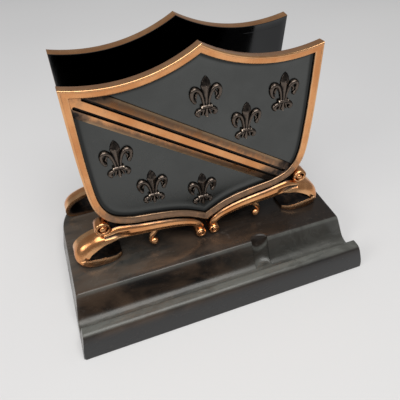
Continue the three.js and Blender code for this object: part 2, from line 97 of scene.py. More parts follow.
MOULDING_PATH = [
    (57.6, 37.2), (53.5, 37.3), (50, 37.4), (44, 36.4), (37, 35.4), (30, 34.7), (20, 33.3),
    (13, 31.6), (8, 29.6), (4.9, 26.9), (3.7, 23.9), (4.1, 21.6),
]
MOULDING_HALF_HEIGHTS = [3.0, 4.1, 4.7, 4.5, 4.0, 3.7, 3.3, 2.9, 2.6, 2.4, 2.2, 2.2]
MOULDING_EDGE_Y = -25.1
MOULDING_BACK_Y = -16.5
CURL_CENTRE = (4.1, 21.8)
CURL_RADIUS = 3.05
CURL_FRONT_Y = -29.2
CURL_DISH = 0.35

FOOT_PATH = [
    (49, 32.9), (54, 34.0), (58, 34.4), (62, 33.9), (66.5, 32.4), (70.8, 30.2), (74, 26.8),
    (75.2, 23.2), (73.9, 20.2), (70.6, 18.9), (66, 18.8), (58, 18.8), (53.5, 18.8), (50, 18.8),
]
FOOT_LIP_DROPS = [1.6, 3.2, 4.2, 5.0, 5.7, 6.3, 6.5, 6.4, 6.0, 5.5, 4.9, 3.6, 2.7, 1.8]
FOOT_THICKNESSES = [1.4, 2.2, 2.3, 2.4, 2.4, 2.4, 2.4, 2.4, 2.4, 2.4, 2.4, 2.3, 2.0, 1.4]
FOOT_FRONT_Y = [
    -24, -25.2, -25.4, -25.6, -25.9, -26.3, -26.9, -27.6, -28.2, -28.5, -28.7, -28.6, -27.6, -24.8,
]
FOOT_BACK_Y = -14.4

VOLUTE_CENTRE = (57.4, 44.3)
VOLUTE_RADIUS = 4.1
VOLUTE_FRONT_Y = -27.7
VOLUTE_BACK_Y = -21.0
VOLUTE_DISH = 2.6

BERRY_CENTRE = (31.3, -25.4, 23.7)
BERRY_RADIUS = 2.7

BASE_WIDTH = 165.0
BASE_DEPTH = 107.0
BASE_BOTTOM_Z = 0.4
DECK_Z = 18.5
END_DRAFT = 0.2
REAR_CORNER_RADIUS = 28.0
FRONT_Y = -BASE_DEPTH / 2
GROOVE_CENTRE_Y = 16.54
GROOVE_CENTRE_Z = 10.15
GROOVE_RADIUS = 5.8
GROOVE_FRONT_TILT = math.radians(10)
GROOVE_WALL_TILT = math.radians(25)
END_ZONE_X = 60.0
NOTCH_X = 26.3
NOTCH_HALF_WIDTH = 5.05
NOTCH_DEPTH = 3.4
NOTCH_FADE_Y = (34.0, 40.0)
REAR_WALL_Y = 103.0

# ---- Facets of round forms ----
ROLL_SIDES = 64
BALL_ROWS = 20
BALL_COLUMNS = 28
CORD_SIDES = 14
SPIRAL_COUNT = 60
STROKE_COUNT = 40
HOOK_COUNT = 48
MOULDING_STATIONS = 110
FOOT_STATIONS = 96
WALL_LEVELS = 9

# ---- Edges sharper than these angles, in degrees, stay crisp ----
SHARP_RIM = 32
SHARP_PLATE = 30
SHARP_BEND = 40
SHARP_FLEUR = 60
SHARP_SCROLL = 50
SHARP_BASE = 40

# ---- Colours, linear RGB ----
COPPER_DEEP = (0.68, 0.29, 0.112)
COPPER_WARM = (0.87, 0.43, 0.19)
COPPER_SHADE = (0.5, 0.2, 0.08)
# The next two colours carry patina and painted shade.
COPPER_BROWN_PATINA_SHADE = (0.27, 0.165, 0.105)
COPPER_BLACK_PATINA_SHADE = (0.035, 0.03, 0.028)
# Rubbed copper, also used as painted highlight on ridges, crests and edges.
COPPER_RUB_AND_HIGHLIGHT = (0.98, 0.66, 0.36)
FIELD_GREY = (0.084, 0.087, 0.085)
BACK_GREY = (0.10, 0.102, 0.105)
BRONZE_FACE = (0.125, 0.1, 0.083)
# The next two colours carry patina with painted shade in the hollows, and rubbing with painted highlight
# on the crests.
BRONZE_HOLLOW = (0.010, 0.009, 0.009)
BRONZE_CREST = (0.85, 0.71, 0.57)
PHENOLIC_BLACK = (0.0105, 0.0095, 0.009)
PHENOLIC_BROWN = (0.062, 0.041, 0.028)
# Painted reflection of the floor on the base's front face.
PHENOLIC_FLOOR_REFLECTION = (0.028, 0.028, 0.0285)
PHENOLIC_DUST = (0.16, 0.14, 0.12)
# Wear with painted sheen on the base's lip, groove and deck edge.
PHENOLIC_WEAR_SHEEN = (0.135, 0.14, 0.128)
PHENOLIC_SPECULAR = 0.38
FELT_DARK = (0.02, 0.055, 0.028)
FELT_LIGHT = (0.055, 0.12, 0.065)
FELT_FADED = (0.07, 0.1, 0.06)
FELT_SHEEN = 0.4
STEEL_DARK = (0.42, 0.43, 0.45)
STEEL_LIGHT = (0.6, 0.6, 0.6)
TABLE_LOW = (0.70, 0.70, 0.71)
TABLE_HIGH = (0.73, 0.73, 0.735)

# ---- Stage ----
FLOOR_HALF_M = 4.0
WORLD_COLOUR = (0.95, 0.97, 1.0, 1)
WORLD_STRENGTH = 0.25
TOP_BOX = {
    "place": (-0.05, -0.36, 1.12), "target": (-0.02, -0.05, 0), "size": (1.0, 0.9),
    "power": 12.4, "colour": (1, 0.985, 0.96),
}
SIDE_BOX = {
    "place": (-0.85, -0.26, 0.6), "target": (-0.065, -0.01, 0.035), "size": (0.5, 0.36),
    "power": 2.0, "colour": (1, 0.97, 0.93),
}

# ---- Camera: from the front left and above, angles in radians ----
CAMERA_PLACE_M = (-0.0588, -0.1618, 0.2037)
CAMERA_AZIMUTH = -0.3473
CAMERA_ELEVATION = 0.7739
CAMERA_ROLL = -0.0145
CAMERA_LENS = 37.55
CAMERA_SENSOR = 36.0


# ---- Curves and meshes ----
def smoothstep(low, high, value):
    """0 at low and 1 at high with an eased ramp between; low may be the larger."""
    t = np.clip((np.asarray(value, float) - low) / (high - low), 0, 1)
    return t * t * (3 - 2 * t)


def spline(points, count):
    """Uniform Catmull-Rom through the points, as count + 1 samples, with unit tangents."""
    p = np.asarray(points, float)
    padded = np.vstack([p[:1], p, p[-1:]])
    place = np.linspace(0, len(p) - 1, count + 1)
    i = np.minimum(place.astype(int), len(p) - 2)
    t = (place - i)[:, None]
    a, b, c, d = (padded[i + k] for k in range(4))
    v0, v1 = (c - a) / 2, (d - b) / 2
    value = (2 * b - 2 * c + v0 + v1) * t**3 + (-3 * b + 3 * c - 2 * v0 - v1) * t**2 + v0 * t + b
    slope = 3 * (2 * b - 2 * c + v0 + v1) * t**2 + 2 * (-3 * b + 3 * c - 2 * v0 - v1) * t + v0
    return value, slope / np.linalg.norm(slope, axis=1, keepdims=True)


def sampled(values, t):
    """Evenly spaced values read at t, from 0 at the first to 1 at the last."""
    return np.interp(np.asarray(t) * (len(values) - 1), range(len(values)), values)


def offset_line(line, distance):
    """Moves an open line sideways, to its left."""
    edge = np.diff(line, axis=0)
    edge /= np.linalg.norm(edge, axis=1, keepdims=True)
    normal = np.stack([-edge[:, 1], edge[:, 0]], 1)
    at_points = np.vstack([normal[:1], normal[:-1] + normal[1:], normal[-1:]])
    at_points /= np.linalg.norm(at_points, axis=1, keepdims=True)
    return line + at_points * distance


def first_meeting(a, b):
    """Where two open lines cross: segment numbers and fractions along them."""
    p, r = a[:-1, None], np.diff(a, axis=0)[:, None]
    q, t = b[None, :-1], np.diff(b, axis=0)[None]
    cross = r[..., 0] * t[..., 1] - r[..., 1] * t[..., 0]
    cross = np.where(np.abs(cross) < 1e-12, 1e-12, cross)
    gap = q - p
    u = (gap[..., 0] * t[..., 1] - gap[..., 1] * t[..., 0]) / cross
    v = (gap[..., 0] * r[..., 1] - gap[..., 1] * r[..., 0]) / cross
    i, k = np.argwhere((u >= 0) & (u <= 1) & (v >= 0) & (v <= 1))[0]
    return i, u[i, k], k, v[i, k]


def resampled(line, count):
    """The same open line as count points, evenly spaced along it."""
    length = np.concatenate([[0], np.cumsum(np.linalg.norm(np.diff(line, axis=0), axis=1))])
    place = np.linspace(0, length[-1], count)
    return np.stack([np.interp(place, length, line[:, k]) for k in (0, 1)], 1)


def cut_at_middle(line, keep_after):
    """Trims a line where it crosses x = 0."""
    k = int(np.argmax(line[:-1, 0] * line[1:, 0] <= 0))
    a, b = line[k], line[k + 1]
    middle = a + (b - a) * (a[0] / (a[0] - b[0]))
    return np.vstack([middle, line[k + 1:]]) if keep_after else np.vstack([line[: k + 1], middle])


def grid_faces(rows, columns, wrap_rows=False, wrap_columns=False):
    """Quads over points that are stored row by row."""
    faces = []
    for i in range(rows if wrap_rows else rows - 1):
        for k in range(columns if wrap_columns else columns - 1):
            a = i * columns + k
            b = i * columns + (k + 1) % columns
            c = ((i + 1) % rows) * columns + (k + 1) % columns
            d = ((i + 1) % rows) * columns + k
            faces.append((a, b, c, d))
    return faces


def shell(rings, capped=True):
    """Joins equal rings; capped closes both ends, otherwise the last meets the first."""
    rings = [np.asarray(ring, float) for ring in rings]
    count = len(rings[0])
    faces = grid_faces(len(rings), count, wrap_rows=not capped, wrap_columns=True)
    if capped:
        last = (len(rings) - 1) * count
        faces.append(tuple(reversed(range(count))))
        faces.append(tuple(last + k for k in range(count)))
    return np.vstack(rings), faces


def merged(*parts):
    points, faces, offset = [], [], 0
    for part_points, part_faces in parts:
        points.append(part_points)
        faces += [tuple(i + offset for i in face) for face in part_faces]
        offset += len(part_points)
    return np.vstack(points), faces


def mirrored(part):
    """The part on the other side of x = 0, with its faces still turned outward."""
    points, faces = part
    flip = np.ones(points.shape[1])
    flip[0] = -1
    return points * flip, [tuple(reversed(face)) for face in faces]


def mesh_from(name, part, sharp_angle):
    """Columns after the first three are painted on as patina with painted shade, then rubbing with painted
    highlight.
    """
    points, faces = part
    mesh = bpy.data.meshes.new(name)
    mesh.from_pydata((points[:, :3] * MM).tolist(), [], faces)
    for column, attribute in enumerate(("patina_and_shade", "wear_and_highlight"), 3):
        values = points[:, column] if points.shape[1] > column else np.zeros(len(points))
        paint(mesh, attribute, values)
    work = bmesh.new()
    work.from_mesh(mesh)
    bmesh.ops.remove_doubles(work, verts=work.verts, dist=WELD * MM)
    bmesh.ops.recalc_face_normals(work, faces=work.faces)
    work.to_mesh(mesh)
    work.free()
    mesh.shade_smooth()
    mesh.set_sharp_from_angle(angle=math.radians(sharp_angle))
    return mesh


def paint(mesh, name, values):
    attribute = mesh.attributes.get(name) or mesh.attributes.new(name, "FLOAT", "POINT")
    attribute.data.foreach_set("value", np.asarray(values, np.float32))


def add_piece(name, mesh, replaced, matrix=Matrix.Identity(4)):
    """Places a mesh that is already in metres on the one body, in place of CAD nodes."""
    piece = bpy.data.objects.new(name, mesh)
    piece.matrix_world = matrix
    bpy.context.scene.collection.objects.link(piece)
    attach(piece, "root")
    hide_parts(*replaced)
    return piece


def casting_matrix(face):
    """The rear casting is the front one turned half a turn about the slot's middle."""
    turn = 0 if face == "front" else math.pi
    return Matrix.Translation((0, CASTING_AXIS_Y * MM, 0)) @ Matrix.Rotation(turn, 4, "Z")


# ---- Shield plane: (x, depth, v) to casting coordinates ----
def lean(points):
    """The shield's own plane tips back about its foot."""
    x, depth, v = np.asarray(points, float).T
    c, s = math.cos(SHIELD_LEAN), math.sin(SHIELD_LEAN)
    y = depth * c + v * s + SHIELD_FRONT_Y
    z = -depth * s + v * c + SHIELD_PIVOT_Z
    return np.stack([x, y, z], -1)


def plane_v(z):
    """Height in the shield's plane of a point at height z."""
    return (np.asarray(z, float) - SHIELD_PIVOT_Z) / math.cos(SHIELD_LEAN)


def half_runs():
    """The right half of the shield: the side from the foot up, then the top arc."""
    x = np.linspace(0, SHIELD_TIP_X, TOP_COUNT * 2)
    z = TOP_ARC_CENTRE[1] - np.sqrt(TOP_ARC_RADIUS**2 - (x - TOP_ARC_CENTRE[0]) ** 2)
    z[0] = SHIELD_PEAK_Z
    top = np.stack([x, plane_v(z)], 1)
    side, _ = spline([(px, float(plane_v(pz))) for px, pz in SIDE_POINTS], SIDE_COUNT * 2)
    return side[::-1], top[::-1]


def shield_inset(distance):
    """The shield's outline drawn in by a distance, counter-clockwise, corners kept sharp."""
    side, top = (offset_line(run, distance) for run in half_runs())
    if distance > 0:
        i, u, k, v = first_meeting(side, top)
        corner = side[i] + u * (side[i + 1] - side[i])
        side = np.vstack([cut_at_middle(side[: i + 1], True), corner])
        top = np.vstack([corner, cut_at_middle(top[k + 1:], False)])
    side[0, 0] = top[-1, 0] = 0
    right = np.vstack([resampled(side, SIDE_COUNT)[:-1], resampled(top, TOP_COUNT)])
    left = right[1:-1][::-1] * np.array([-1, 1])
    return np.vstack([right, left])


def at_depth(outline, depth, patina_and_shade=0.0, wear_and_highlight=0.0):
    """An outline placed at a depth behind the shield's front face, with its paint."""
    full = [np.broadcast_to(np.asarray(value, float), len(outline)) for value in (depth, patina_and_shade, wear_and_highlight)]
    place = lean(np.stack([outline[:, 0], full[0], outline[:, 1]], 1))
    return np.column_stack([place, full[1], full[2]])


def lower_painted_shade(outline):
    """The rim is painted darker towards the point at the foot of the shield, as painted shade where it
    faces down towards the dark base; its painted highlight fades there too.
    """
    return 0.6 * smoothstep(36, 9, outline[:, 1])


def rim_part():
    """Flat outer edge, rounded ridge, bevelled face, inner wall: inset, depth, patina with painted shade,
    rubbing with painted highlight. The ridge is painted lighter as a painted highlight.
    """
    profile = [
        (0.3, SHIELD_THICKNESS, 0.6, 0), (0.06, 4.9, 0.3, 0.3), (0, 4.6, 0.2, 0.1), (0, 2.5, 0.05, 0.2),
        (0, 0.85, 0, 0.4),
        (0.02, 0.5, 0, 0.4), (0.07, 0.3, 0, 0.5), (0.15, 0.18, 0, 0.4), (0.29, 0.1, 0, 0.4),
        (0.45, 0.05, 0, 0.3), (0.64, 0.03, 0, 0.3),
        (0.8, 0.08, 0.05, 0.3), (1.05, 0.2, 0.35, 0), (1.3, 0.27, 0.1, 0), (2.2, 0.4, 0.06, 0),
        (2.9, 0.56, 0.08, 0), (3.3, 0.68, 0.1, 0.1), (3.55, 0.8, 0.1, 0.5), (3.74, 1.0, 0.4, 0.2),
        (3.86, 1.4, 0.9, 0),
        (3.9, 2.1, 1, 0), (3.9, 2.6, 1, 0), (3.9, 3.4, 1, 0), (3.9, 4.95, 1, 0),
        (3.6, SHIELD_THICKNESS, 1, 0),
    ]
    rings = []
    for inset, depth, patina_and_shade, wear_and_highlight in profile:
        outline = shield_inset(inset)
        lower_shade = lower_painted_shade(outline)
        rings.append(at_depth(outline, depth, np.maximum(patina_and_shade, lower_shade), wear_and_highlight * (1 - lower_shade)))
    return shell(rings, capped=False)


def plate_part():
    """Flat field with a soft fillet up to the rim, and a flat back."""
    profile = [
        (3.8, SHIELD_THICKNESS), (3.8, 2.5), (4.1, 2.62), (4.5, 2.76), (5.0, 2.9), (5.6, 3.02),
        (6.4, 3.12), (7.4, 3.18), (8.6, FIELD_DEPTH), (8.8, FIELD_DEPTH),
    ]
    rings = []
    for inset, depth in profile:
        outline = shield_inset(inset)
        # Painted shade: the field is darker next to the rim and towards the left.
        shade = 1 - smoothstep(4.2, 6.2, inset) + 0.35 * smoothstep(45, -60, outline[:, 0])
        rings.append(at_depth(outline, depth, shade))
    return shell(rings)


# ---- Bend: a structured grid between the window's two crossings of each line ----
def window_span(outline, n):
    """Where the line at cross offset n meets the outline, as two distances along the bend."""
    slope_angle = math.atan(BEND_SLOPE)
    along = np.array([math.cos(slope_angle), math.sin(slope_angle)])
    across = np.array([-along[1], along[0]])
    centre = np.array([0, float(plane_v(BEND_CENTRE_Z))])
    local = (outline - centre) @ np.stack([along, across], 1)
    nxt = np.roll(local, -1, axis=0)
    crossing = (local[:, 1] - n) * (nxt[:, 1] - n) < 0
    t = (n - local[crossing, 1]) / (nxt[crossing, 1] - local[crossing, 1])
    s = local[crossing, 0] + t * (nxt[crossing, 0] - local[crossing, 0])
    return s.min(), s.max(), along, across, centre


def bend_patina(s, n, low, high):
    """Bright middle bar, browner skirts, black grooves, both ends fading to the field."""
    patina_and_shade = 0.12 + 0.5 * smoothstep(3.0, 3.8, np.abs(n)) * (0.55 + 0.45 * smoothstep(3.6, 7.4, np.abs(n)))
    for side, (start, end) in BEND_GROOVE_ENDS.items():
        distance = np.hypot(s - np.clip(s, start, end), n - side * BEND_GROOVE_OFFSET)
        patina_and_shade = np.maximum(patina_and_shade, 1 - smoothstep(BEND_GROOVE_HALF, BEND_GROOVE_HALF + 0.3, distance))
    skirt = 0.3 + 0.7 * smoothstep(2.5, 4.0, np.abs(n))
    ends = np.maximum(smoothstep(14, 2, s - low) * skirt, smoothstep(22, 4, high - s))
    return np.maximum(patina_and_shade, 0.9 * ends)


def bend_depth(s, n):
    """A slightly crowned middle bar, skirts falling to the field, and two sunk grooves."""
    crown = BEND_CROWN_DEPTH + 0.012 * n * n
    outward = (np.abs(n) - BEND_CROWN_HALF) / (BEND_HALF_WIDTH - BEND_CROWN_HALF)
    skirt = BEND_SKIRT_DEPTH + BEND_SKIRT_DROP * np.clip(outward, 0, 1.2) ** 1.15
    depth = np.where(np.abs(n) < BEND_CROWN_HALF, crown, np.maximum(crown, skirt))
    edge = np.abs(n) > BEND_HALF_WIDTH - 0.25
    depth = np.where(edge, BEND_EDGE_DEPTH, depth)
    for side, (start, end) in BEND_GROOVE_ENDS.items():
        nearest = np.clip(s, start, end)
        distance = np.hypot(s - nearest, n - side * BEND_GROOVE_OFFSET)
        inside = 1 - smoothstep(BEND_GROOVE_HALF - 0.12, BEND_GROOVE_HALF + 0.12, distance)
        depth = depth + inside * BEND_GROOVE_SINK
    return depth


def bend_samples():
    """Cross offsets, closest together over the two grooves."""
    fine = np.linspace(-1.05, 1.05, 17)
    cross = [-BEND_HALF_WIDTH, -BEND_HALF_WIDTH + 0.2, -BEND_HALF_WIDTH + 0.4, -6.6, -5.8, -5, -4.4]
    cross += list(-BEND_GROOVE_OFFSET + fine) + [-1, -0.5]
    cross += [0] + [-value for value in reversed(cross)]
    return np.array(cross)


def bend_part():
    """Lines along the band from one crossing of the window to the other."""
    window = shield_inset(FIELD_INSET - 0.15)
    groove_ends = np.array(list(BEND_GROOVE_ENDS.values())).ravel()
    ends = np.add.outer(groove_ends, np.linspace(-1, 1, 11)).ravel()
    rings = []
    for n in bend_samples():
        low, high, along, across, centre = window_span(window, n)
        inner = np.sort(np.concatenate([np.linspace(-60, 48, 82), np.clip(ends, low + 0.1, high - 0.1)]))
        lead = np.linspace(low, inner[0], 8)[:-1]
        tail = np.linspace(inner[-1], high, 8)[1:]
        s = np.concatenate([lead, inner + np.arange(len(inner)) * 1e-5, tail])
        place = centre + s[:, None] * along + n * across
        front = np.stack([place[:, 0], bend_depth(s, n), place[:, 1]], 1)
        back = front[[-1, 0]].copy()
        back[:, 1] = BEND_BACK_DEPTH
        patina_and_shade = bend_patina(s, n, low, high)
        wear_and_highlight = 0.5 * smoothstep(0.9, 0.2, np.abs(np.abs(n) - 7.1)) * smoothstep(0.9, 0.5, patina_and_shade)
        paints = np.stack([np.append(patina_and_shade, [1, 1]), np.append(wear_and_highlight, [0, 0])], 1)
        rings.append(np.hstack([lean(np.vstack([front, back])), paints]))
    return shell(rings)


# ---- Fleur-de-lis: relief height over its own plane, from curled strokes ----
def stroke(points, widths, heights):
    """A smooth path with its half width and height at every sample."""
    path, _ = spline(points, STROKE_COUNT)
    t = np.linspace(0, 1, STROKE_COUNT + 1)
    return path, sampled(widths, t), sampled(heights, t)


def stroke_height(x, z, path, widths, heights):
    """Highest of the round sections along a stroke."""
    best = np.full(x.shape, -1.0)
    for (px, pz), width, height in zip(path, widths, heights):
        ratio = 1 - ((x - px) ** 2 + (z - pz) ** 2) / width**2
        best = np.maximum(best, np.where(ratio > 0, height * np.sqrt(np.clip(ratio, 0, 1)), -1))
    return best


def fleur_strokes():
    """Paths, half widths and heights on the +x side: petal, its curled end, foot lobes."""
    return [
        ([(1.2, -3.8), (1.8, -0.5), (2.9, 2.4), (4.3, 4.0), (5.9, 4.2), (6.9, 2.8), (7.0, 0.7),
          (6.6, -0.9)],
         [0.75, 0.9, 1.15, 1.3, 1.35, 1.3, 1.1, 0.85], [1.2, 1.3, 1.5, 1.75, 1.85, 1.6, 1.3, 1.0]),
        ([(6.3, -0.6), (6.0, -1.4), (5.7, -1.7)], [0.8, 1.05, 1.15], [1.2, 1.45, 1.5]),
        ([(4.4, 2.3), (5.1, 1.1), (4.9, -0.1)], [0.7, 0.75, 0.6], [1.1, 1.2, 1.0]),
        ([(0.9, -5.6), (2.4, -6.3), (3.9, -6.8), (4.7, -7.9), (4.1, -8.9)],
         [0.8, 1.0, 1.2, 1.25, 1.15], [1.1, 1.25, 1.5, 1.55, 1.5]),
        ([(0.7, -5.4), (1.6, -7.2), (2.1, -8.9)], [0.55, 0.65, 0.7], [1.2, 1.3, 1.2]),
    ]


def petal_height(x, z):
    """The ridged middle petal, its tip sloping back, and the lobe below the band."""
    z_stops = [-5.5, -3.6, -1, 2, 5.2, 7.4, 9, PETAL_TIP_Z]
    half = np.interp(z, z_stops, [0.75, 0.95, 1.35, 2.0, 2.6, 2.15, 1.25, 0.01])
    ridge = 1 - np.abs(x) / np.maximum(half, 1e-3)
    crest = np.interp(z, [-5.5, 2, 5.4, 5.7, PETAL_TIP_Z], [1.5, 1.9, 2.1, 1.75, 0.4])
    upper = np.where((ridge > 0) & (z > -5.5) & (z < PETAL_TIP_Z), 0.45 + (crest - 0.45) * ridge, -1)
    low_half = np.interp(z, [-PETAL_TIP_Z, -9.9, -8.9, -7, -5.5], [0.01, 0.95, 1.3, 0.85, 0.65])
    low_ridge = 1 - (x / np.maximum(low_half, 1e-3)) ** 2
    low_crest = 1.6 * np.clip(low_ridge, 0, 1) ** 0.5
    lower = np.where((low_ridge > 0) & (z > -PETAL_TIP_Z) & (z < -5), low_crest, -1)
    return np.maximum(upper, lower)


def band_height(x, z):
    """The cross band that ties the petals, round in section."""
    across = 1 - ((z - BAND_Z) / BAND_HALF_HEIGHT) ** 2
    ends = 1 - (np.abs(x) / BAND_HALF_WIDTH) ** 6
    return np.where((across > 0) & (ends > 0), 0.7 + 1.2 * np.clip(across, 0, 1) ** 0.45, -1)


def fleur_height(x, z):
    """Height over the field; below zero there is no metal."""
    height = np.maximum(petal_height(x, z), band_height(x, z))
    for points, widths, heights in fleur_strokes():
        path, width, tall = stroke(points, widths, heights)
        height = np.maximum(height, stroke_height(np.abs(x), z, path, width, tall))
    return height


def softened(field, rounds):
    """Blurs a height field a little, once per round."""
    for _ in range(rounds):
        padded = np.pad(field, 1, mode="edge")
        field = (
            4 * field + padded[:-2, 1:-1] + padded[2:, 1:-1] + padded[1:-1, :-2] + padded[1:-1, 2:]
        ) / 8
    return field


def fleur_part():
    """A closed relief: the raised cells, a flat back and the walls between them."""
    x = np.arange(-FLEUR_HALF_WIDTH, FLEUR_HALF_WIDTH + FLEUR_STEP, FLEUR_STEP)
    z = np.arange(-FLEUR_HALF_HEIGHT, FLEUR_HALF_HEIGHT + FLEUR_STEP, FLEUR_STEP)
    gx, gz = np.meshgrid(x, z)
    height = softened(fleur_height(gx, gz), 2)
    around = softened(np.maximum(height, 0), 40)
    # Rubbing and painted highlight: a lighter line along the crests.
    raised = np.clip((height - around - 0.3) / 0.5, 0, 1)
    # Darker low parts: patina in the hollows and painted contact shade round the relief.
    sunk = np.clip((around - height + 0.12) / 0.35, 0, 1)
    # Painted shade: the top of the middle petal, which slopes back, is darker.
    sunk = np.maximum(sunk, smoothstep(5.3, 6.2, gz) * (np.abs(gx) < 2.7) * 0.6)
    kept = height > -0.55
    index = -np.ones(kept.shape, int)
    index[kept] = np.arange(kept.sum())
    count = int(kept.sum())
    front = np.stack([gx[kept], FIELD_DEPTH - height[kept], gz[kept], sunk[kept], raised[kept]], 1)
    back = front.copy()
    back[:, 1] = FIELD_DEPTH + FLEUR_BACK
    back[:, 3:] = (1, 0)
    cell = kept[:-1, :-1] & kept[:-1, 1:] & kept[1:, :-1] & kept[1:, 1:]
    faces, walls = [], {}
    for r, c in zip(*np.nonzero(cell)):
        quad = (index[r, c], index[r, c + 1], index[r + 1, c + 1], index[r + 1, c])
        quad = tuple(int(i) for i in quad)
        faces.append(quad)
        faces.append(tuple(i + count for i in reversed(quad)))
        for a, b in zip(quad, quad[1:] + quad[:1]):
            if (b, a) in walls:
                del walls[(b, a)]
            else:
                walls[(a, b)] = True
    faces += [(b, a, a + count, b + count) for a, b in walls]
    return np.vstack([front, back]), faces


# ---- Scroll foot parts, for the +X side ----
def sweep_in_xz(path, section_at, stations):
    """Rings of (offset, y, paint) sections set square to a path in the x-z plane."""
    centre, along = spline(path, stations)
    rings = []
    for i, ((x, z), (tx, tz)) in enumerate(zip(centre, along)):
        section = section_at(i / stations)
        offset, y = section[:, 0], section[:, 1]
        place = np.stack([x + offset * tz, y, z - offset * tx], 1)
        rings.append(np.hstack([place, section[:, 2:]]))
    return rings


def moulding_front(v, t):
    """How far the front stands out at v, from -1 at the top edge to 1 at the bottom edge."""
    single = np.interp(
        v, [-1, -0.92, -0.5, -0.38, 0.1, 0.6, 0.85, 1], [0, 0.3, 2.1, 2.35, 2.3, 1.8, 1.2, 0.2],
    )
    paired = np.interp(
        v, [-1, -0.85, -0.62, -0.52, -0.4, -0.2, 0.1, 0.25, 0.45, 0.6, 0.8, 1],
        [0, 0.6, 2.1, 2.35, 2.0, 0.9, 0.8, 1.5, 2.3, 2.1, 1.3, 0.2],
    )
    double = 1 - smoothstep(0.12, 0.3, t)
    return double * paired + (1 - double) * single


def moulding_section(t):
    """Offset, y, patina with painted shade, and rubbing with painted highlight around the strand."""
    half = sampled(MOULDING_HALF_HEIGHTS, t)
    v = np.linspace(-1, 1, 49)
    front = MOULDING_EDGE_Y - moulding_front(v, t)
    double = 1 - smoothstep(0.12, 0.3, t)
    cove = double * smoothstep(0.36, 0.2, np.abs(v + 0.05))
    # Dark along both edges, where the strand meets the shield, and in the cove between the paired strands:
    # patina with painted shade.
    patina_and_shade = np.maximum(np.maximum(smoothstep(0.88, 1.0, np.abs(v)), 0.85 * cove), 0.04)
    # Painted shade: the single strand's lower, downward-facing part is darker.
    patina_and_shade = np.maximum(patina_and_shade, 0.4 * smoothstep(0.35, 0.95, v) * (1 - double))
    # Rubbing and painted highlight along the crests.
    wear_and_highlight = smoothstep(0.32, 0.1, np.abs(v + 0.6)) * smoothstep(0.04, 0.12, t) * smoothstep(1.0, 0.7, t)
    wear_and_highlight = np.maximum(wear_and_highlight, 0.5 * double * smoothstep(0.3, 0.05, np.abs(v - 0.45)))
    face = np.stack([v * half, front, patina_and_shade, wear_and_highlight], 1)
    edge = [(-half, MOULDING_BACK_Y + 0.3, 1, 0), (-half, MOULDING_EDGE_Y, 1, 0)]
    under = [(half, MOULDING_EDGE_Y, 1, 0), (half, MOULDING_BACK_Y + 0.3, 1, 0)]
    back = [(half - 0.3, MOULDING_BACK_Y, 1, 0), (-half + 0.3, MOULDING_BACK_Y, 1, 0)]
    return np.vstack([edge, face, under, back])


def roll_part(centre, radius, front_y, back_y, dish=CURL_DISH):
    """A short roll along Y with a rounded front edge and a dished face."""
    x, z = centre
    # Darker in the dish, patina with painted shade; the rounded front edge lighter, rubbing with painted
    # highlight; the sides and back darker, painted shade.
    profile = [
        (0.2, dish, 0.9, 0), (0.55, dish, 0.9, 0), (0.7, dish * 0.6, 0.8, 0), (0.8, 0.08, 0.3, 0.2),
        (0.9, 0, 0, 0.5), (0.97, 0.25, 0, 0.3), (1, 0.7, 0.1, 0),
    ]
    angles = np.linspace(0, 2 * math.pi, ROLL_SIDES, endpoint=False)
    rows = [(ratio * radius, front_y + back, patina_and_shade, wear_and_highlight) for ratio, back, patina_and_shade, wear_and_highlight in profile]
    rows += [(radius, back_y - 0.4, 0.35, 0), (0.93 * radius, back_y, 0.6, 0)]
    rings = []
    for r, y, patina_and_shade, wear_and_highlight in rows:
        ring = np.column_stack([x + r * np.cos(angles), np.full(ROLL_SIDES, y), z + r * np.sin(angles)])
        rings.append(painted(ring, patina_and_shade, wear_and_highlight))
    return shell(rings)


def painted(points, patina_and_shade, wear_and_highlight):
    """Points with patina with painted shade, and rubbing with painted highlight, as two more columns."""
    paints = [np.broadcast_to(np.asarray(value, float), len(points)) for value in (patina_and_shade, wear_and_highlight)]
    return np.column_stack([points, *paints])


def ball_part(centre, radius):
    """A ball whose front pole faces the viewer and is painted lighter, rubbing with painted highlight, and
    whose back is painted darker as painted shade.
    """
    angles = np.linspace(0, 2 * math.pi, BALL_COLUMNS, endpoint=False)
    rings = []
    for polar in np.linspace(0.06, math.pi - 0.06, BALL_ROWS):
        r = radius * math.sin(polar)
        ring = np.stack([
            centre[0] + r * np.cos(angles),
            np.full(BALL_COLUMNS, centre[1] - radius * math.cos(polar)),
            centre[2] + r * np.sin(angles),
        ], 1)
        rings.append(painted(ring, 0.8 * smoothstep(0.9, 2.0, polar), 0.35 * smoothstep(0.9, 0.2, polar)))
    return shell(rings)


def cord_part(path, radii, patina_and_shade=0.2, wear_and_highlight=0.2):
    """A round strand along a 3-D path, tapering with radii; its back is painted darker as painted shade
    and loses its painted highlight.
    """
    centre, along = path
    angles = np.linspace(0, 2 * math.pi, CORD_SIDES, endpoint=False)
    rings = []
    for i, (point, tangent) in enumerate(zip(centre, along)):
        side = np.cross(tangent, (0, 1, 0))
        side /= np.linalg.norm(side)
        other = np.cross(side, tangent)
        radius = sampled(radii, i / (len(centre) - 1))
        ring = point + radius * (np.cos(angles)[:, None] * side + np.sin(angles)[:, None] * other)
        behind = smoothstep(-0.3, 0.6, (ring[:, 1] - point[1]) / radius)
        rings.append(painted(ring, patina_and_shade + (0.9 - patina_and_shade) * behind, wear_and_highlight * (1 - behind)))
    return shell(rings)


def spiral(centre, start_radius, end_radius, turns, start_angle, y_from, y_to):
    """A coil in the x-z plane, with its tangents, for cord_part()."""
    t = np.linspace(0, 1, SPIRAL_COUNT)
    angle = start_angle + t * turns * 2 * math.pi
    radius = start_radius + (end_radius - start_radius) * t
    x = centre[0] + radius * np.cos(angle)
    z = centre[1] + radius * np.sin(angle)
    return spline(np.stack([x, y_from + (y_to - y_from) * t, z], 1), SPIRAL_COUNT)


